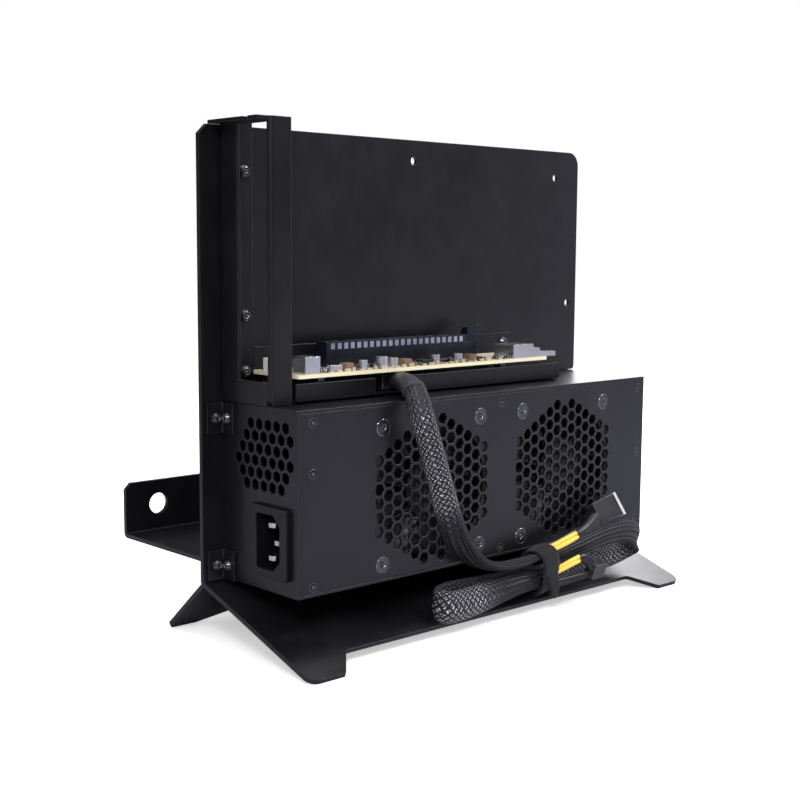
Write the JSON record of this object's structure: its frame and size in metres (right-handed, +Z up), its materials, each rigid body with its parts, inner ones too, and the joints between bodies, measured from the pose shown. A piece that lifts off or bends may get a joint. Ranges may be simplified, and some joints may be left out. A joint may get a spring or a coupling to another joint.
{
  "type": "external graphics card enclosure",
  "caption": "Open black steel dock for a graphics card, with a boxed power supply, honeycomb fan grilles, a riser board with a card slot, and a tied sleeved power lead.",
  "frame": {"origin": "on the floor, in the middle of the ground that the stand covers, without the lead", "axes": "+X along the back plate to the right seen from the front, +Y to the back, +Z up"},
  "size_m": [0.245, 0.1428, 0.2248],
  "materials": {
    "black_sheet": "satin powder coat",
    "black_cover": "satin powder coat",
    "steel": "bright zinc",
    "dark_screw": "black oxide",
    "fan_plastic": "matt black",
    "inlet_plastic": "satin black",
    "pin_metal": "bright",
    "supply_mask": "dark green board",
    "yellow_tape": "yellow tape",
    "can_sleeve": "dark sleeve",
    "heat_sink": "extruded",
    "copper_wire": "lacquered copper wire",
    "cream_board": "cream edge, pale solder mask",
    "slot_plastic": "navy black",
    "contact_metal": "tinned",
    "port_metal": "bright stamped shell",
    "white_plastic": "white nylon",
    "chip_plastic": "moulded package",
    "ferrite": "brown ferrite",
    "can_metal": "bright can",
    "ceramic": "ceramic",
    "braid": "braided sleeve",
    "shrink": "heat-shrink",
    "strap_cloth": "hook-and-loop",
    "yellow_wire": "wire insulation",
    "plug_plastic": "black nylon"
  },
  "bodies": {
    "dock": {"stand_plate": "black_sheet", "rear_support": "black_sheet", "rear_screws": "steel", "supply_case": "black_cover", "supply_cover": "black_cover", "fan_1_frame": "fan_plastic", "fan_2_frame": "fan_plastic", "fan_screws": "steel", "cover_screws": "dark_screw", "inlet_body": "inlet_plastic", "inlet_pins": "pin_metal", "supply_board": "supply_mask", "supply_standoffs": "steel", "supply_transformer": "yellow_tape", "supply_capacitors": "can_sleeve", "supply_heat_sinks": "heat_sink", "supply_coils": "copper_wire", "angle_brackets": "black_sheet", "bracket_screws": "steel", "case_screws": "steel", "card_bracket_holder": "black_sheet", "board_tray": "black_sheet", "riser_board": "cream_board", "board_standoffs": "steel", "board_screws": "steel", "slot_body": "slot_plastic", "slot_contacts": "contact_metal", "host_port_shell": "port_metal", "data_port_shell": "port_metal", "board_header": "white_plastic", "board_chips": "chip_plastic", "board_crystal": "port_metal", "board_coils": "ferrite", "board_capacitors": "can_metal", "board_small_parts": "ceramic", "holder_screws": "steel", "lead_header": "plug_plastic", "lead_boot": "shrink", "power_lead": "braid", "power_lead_hank": "braid", "lead_strap": "strap_cloth", "plug_wires": "yellow_wire", "lead_plug_six": "plug_plastic", "lead_plug_two": "plug_plastic"},
    "fan_1": {"fan_1_rotor": "fan_plastic"},
    "fan_2": {"fan_2_rotor": "fan_plastic"},
    "latch": {"slot_latch": "slot_plastic"}
  },
  "joints": [
    {"name": "fan_1_spin", "type": "hinge", "parent": "dock", "child": "fan_1", "pos_m": [-0.03456, -0.04007, 0.06573], "axis": [0, 1, 0], "continuous": true},
    {"name": "fan_2_spin", "type": "hinge", "parent": "dock", "child": "fan_2", "pos_m": [0.05417, -0.04007, 0.06573], "axis": [0, 1, 0], "continuous": true},
    {"name": "latch_hinge", "type": "hinge", "parent": "dock", "child": "latch", "pos_m": [0.0276, -0.00757, 0.12383], "axis": [0, 1, 0], "range_deg": [0, 40]}
  ]
}
